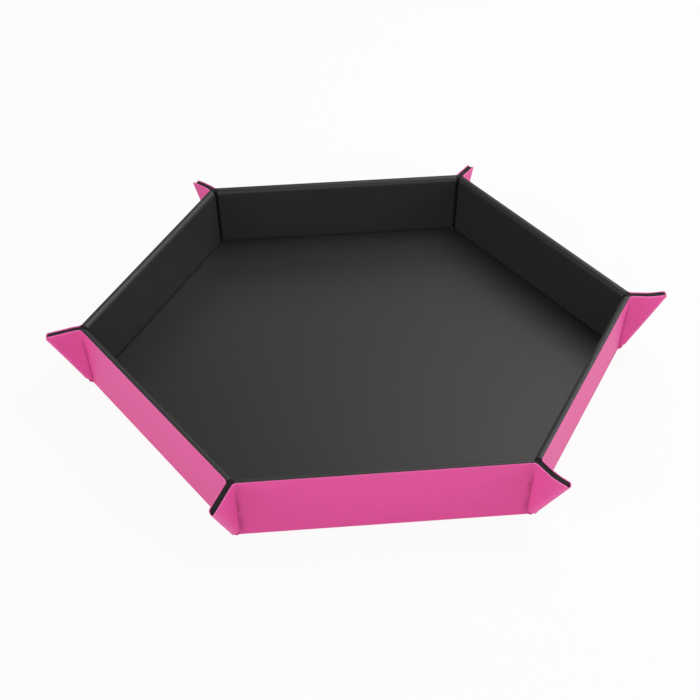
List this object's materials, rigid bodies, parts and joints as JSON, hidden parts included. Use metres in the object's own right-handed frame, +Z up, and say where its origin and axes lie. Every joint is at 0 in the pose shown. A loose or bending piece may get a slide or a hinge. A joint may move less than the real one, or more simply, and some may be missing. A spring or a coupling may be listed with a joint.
{
  "type": "folding dice tray",
  "caption": "Hexagonal folding dice tray with a lined floor, low outward-leaning walls and magnetic pinched corner ears; opens flat.",
  "frame": {"origin": "centre of the underside of the base, where the tray rests", "axes": "+Z up out of the tray; +X through one corner ear, the longest way across; -Y towards wall 1, the front wall"},
  "size_m": [0.3192, 0.2784, 0.0361],
  "materials": {
    "cover": "fine-grained satin leatherette",
    "lining": "short-napped microfibre",
    "board": "grey-brown pressed board, hidden inside",
    "magnet": "nickel-plated disc, hidden inside"
  },
  "bodies": {
    "base": {"base_cover": "cover", "base_board": "board", "base_lining": "lining"},
    "wall_1": {"wall_1_cover": "cover", "wall_1_board": "board", "wall_1_lining": "lining"},
    "flap_1_left": {"flap_1_left_cover": "cover", "flap_1_left_lining": "lining", "flap_1_left_magnet": "magnet"},
    "flap_1_right": {"flap_1_right_cover": "cover", "flap_1_right_lining": "lining", "flap_1_right_magnet": "magnet"},
    "wall_2": {"wall_2_cover": "cover", "wall_2_board": "board", "wall_2_lining": "lining"},
    "flap_2_left": {"flap_2_left_cover": "cover", "flap_2_left_lining": "lining", "flap_2_left_magnet": "magnet"},
    "flap_2_right": {"flap_2_right_cover": "cover", "flap_2_right_lining": "lining", "flap_2_right_magnet": "magnet"},
    "wall_3": {"wall_3_cover": "cover", "wall_3_board": "board", "wall_3_lining": "lining"},
    "flap_3_left": {"flap_3_left_cover": "cover", "flap_3_left_lining": "lining", "flap_3_left_magnet": "magnet"},
    "flap_3_right": {"flap_3_right_cover": "cover", "flap_3_right_lining": "lining", "flap_3_right_magnet": "magnet"},
    "wall_4": {"wall_4_cover": "cover", "wall_4_board": "board", "wall_4_lining": "lining"},
    "flap_4_left": {"flap_4_left_cover": "cover", "flap_4_left_lining": "lining", "flap_4_left_magnet": "magnet"},
    "flap_4_right": {"flap_4_right_cover": "cover", "flap_4_right_lining": "lining", "flap_4_right_magnet": "magnet"},
    "wall_5": {"wall_5_cover": "cover", "wall_5_board": "board", "wall_5_lining": "lining"},
    "flap_5_left": {"flap_5_left_cover": "cover", "flap_5_left_lining": "lining", "flap_5_left_magnet": "magnet"},
    "flap_5_right": {"flap_5_right_cover": "cover", "flap_5_right_lining": "lining", "flap_5_right_magnet": "magnet"},
    "wall_6": {"wall_6_cover": "cover", "wall_6_board": "board", "wall_6_lining": "lining"},
    "flap_6_left": {"flap_6_left_cover": "cover", "flap_6_left_lining": "lining", "flap_6_left_magnet": "magnet"},
    "flap_6_right": {"flap_6_right_cover": "cover", "flap_6_right_lining": "lining", "flap_6_right_magnet": "magnet"}
  },
  "joints": [
    {"name": "wall_1_fold", "type": "hinge", "parent": "base", "child": "wall_1", "pos_m": [0, -0.12, 0], "axis": [1, 0, 0], "range_deg": [0, 85]},
    {"name": "flap_1_left_fold", "type": "hinge", "parent": "wall_1", "child": "flap_1_left", "pos_m": [0.06709, -0.12, 0], "axis": [0.0503, -0.087, 0.9949], "range_deg": [0, 60.13]},
    {"name": "flap_1_right_fold", "type": "hinge", "parent": "wall_1", "child": "flap_1_right", "pos_m": [-0.06709, -0.12, 0], "axis": [0.0503, 0.087, -0.9949], "range_deg": [0, 60.13]},
    {"name": "wall_2_fold", "type": "hinge", "parent": "base", "child": "wall_2", "pos_m": [0.10392, -0.06, 0], "axis": [0.5, 0.866, 0], "range_deg": [0, 85]},
    {"name": "flap_2_left_fold", "type": "hinge", "parent": "wall_2", "child": "flap_2_left", "pos_m": [0.13747, -0.0019, 0], "axis": [0.1005, 0, 0.9949], "range_deg": [0, 60.13]},
    {"name": "flap_2_right_fold", "type": "hinge", "parent": "wall_2", "child": "flap_2_right", "pos_m": [0.07038, -0.1181, 0], "axis": [-0.0503, 0.087, -0.9949], "range_deg": [0, 60.13]},
    {"name": "wall_3_fold", "type": "hinge", "parent": "base", "child": "wall_3", "pos_m": [0.10392, 0.06, 0], "axis": [-0.5, 0.866, 0], "range_deg": [0, 85]},
    {"name": "flap_3_left_fold", "type": "hinge", "parent": "wall_3", "child": "flap_3_left", "pos_m": [0.07038, 0.1181, 0], "axis": [0.0503, 0.087, 0.9949], "range_deg": [0, 60.13]},
    {"name": "flap_3_right_fold", "type": "hinge", "parent": "wall_3", "child": "flap_3_right", "pos_m": [0.13747, 0.0019, 0], "axis": [-0.1005, 0, -0.9949], "range_deg": [0, 60.13]},
    {"name": "wall_4_fold", "type": "hinge", "parent": "base", "child": "wall_4", "pos_m": [0, 0.12, 0], "axis": [-1, 0, 0], "range_deg": [0, 85]},
    {"name": "flap_4_left_fold", "type": "hinge", "parent": "wall_4", "child": "flap_4_left", "pos_m": [-0.06709, 0.12, 0], "axis": [-0.0503, 0.087, 0.9949], "range_deg": [0, 60.13]},
    {"name": "flap_4_right_fold", "type": "hinge", "parent": "wall_4", "child": "flap_4_right", "pos_m": [0.06709, 0.12, 0], "axis": [-0.0503, -0.087, -0.9949], "range_deg": [0, 60.13]},
    {"name": "wall_5_fold", "type": "hinge", "parent": "base", "child": "wall_5", "pos_m": [-0.10392, 0.06, 0], "axis": [-0.5, -0.866, 0], "range_deg": [0, 85]},
    {"name": "flap_5_left_fold", "type": "hinge", "parent": "wall_5", "child": "flap_5_left", "pos_m": [-0.13747, 0.0019, 0], "axis": [-0.1005, 0, 0.9949], "range_deg": [0, 60.13]},
    {"name": "flap_5_right_fold", "type": "hinge", "parent": "wall_5", "child": "flap_5_right", "pos_m": [-0.07038, 0.1181, 0], "axis": [0.0503, -0.087, -0.9949], "range_deg": [0, 60.13]},
    {"name": "wall_6_fold", "type": "hinge", "parent": "base", "child": "wall_6", "pos_m": [-0.10392, -0.06, 0], "axis": [0.5, -0.866, 0], "range_deg": [0, 85]},
    {"name": "flap_6_left_fold", "type": "hinge", "parent": "wall_6", "child": "flap_6_left", "pos_m": [-0.07038, -0.1181, 0], "axis": [-0.0503, -0.087, 0.9949], "range_deg": [0, 60.13]},
    {"name": "flap_6_right_fold", "type": "hinge", "parent": "wall_6", "child": "flap_6_right", "pos_m": [-0.13747, -0.0019, 0], "axis": [0.1005, 0, -0.9949], "range_deg": [0, 60.13]}
  ],
  "couplings": [
    {"joint": "flap_1_left_fold", "follows": "wall_1_fold", "ratio": 0.70736},
    {"joint": "flap_1_right_fold", "follows": "wall_1_fold", "ratio": 0.70736},
    {"joint": "wall_2_fold", "follows": "wall_1_fold", "ratio": 1},
    {"joint": "flap_2_left_fold", "follows": "wall_1_fold", "ratio": 0.70736},
    {"joint": "flap_2_right_fold", "follows": "wall_1_fold", "ratio": 0.70736},
    {"joint": "wall_3_fold", "follows": "wall_1_fold", "ratio": 1},
    {"joint": "flap_3_left_fold", "follows": "wall_1_fold", "ratio": 0.70736},
    {"joint": "flap_3_right_fold", "follows": "wall_1_fold", "ratio": 0.70736},
    {"joint": "wall_4_fold", "follows": "wall_1_fold", "ratio": 1},
    {"joint": "flap_4_left_fold", "follows": "wall_1_fold", "ratio": 0.70736},
    {"joint": "flap_4_right_fold", "follows": "wall_1_fold", "ratio": 0.70736},
    {"joint": "wall_5_fold", "follows": "wall_1_fold", "ratio": 1},
    {"joint": "flap_5_left_fold", "follows": "wall_1_fold", "ratio": 0.70736},
    {"joint": "flap_5_right_fold", "follows": "wall_1_fold", "ratio": 0.70736},
    {"joint": "wall_6_fold", "follows": "wall_1_fold", "ratio": 1},
    {"joint": "flap_6_left_fold", "follows": "wall_1_fold", "ratio": 0.70736},
    {"joint": "flap_6_right_fold", "follows": "wall_1_fold", "ratio": 0.70736}
  ]
}
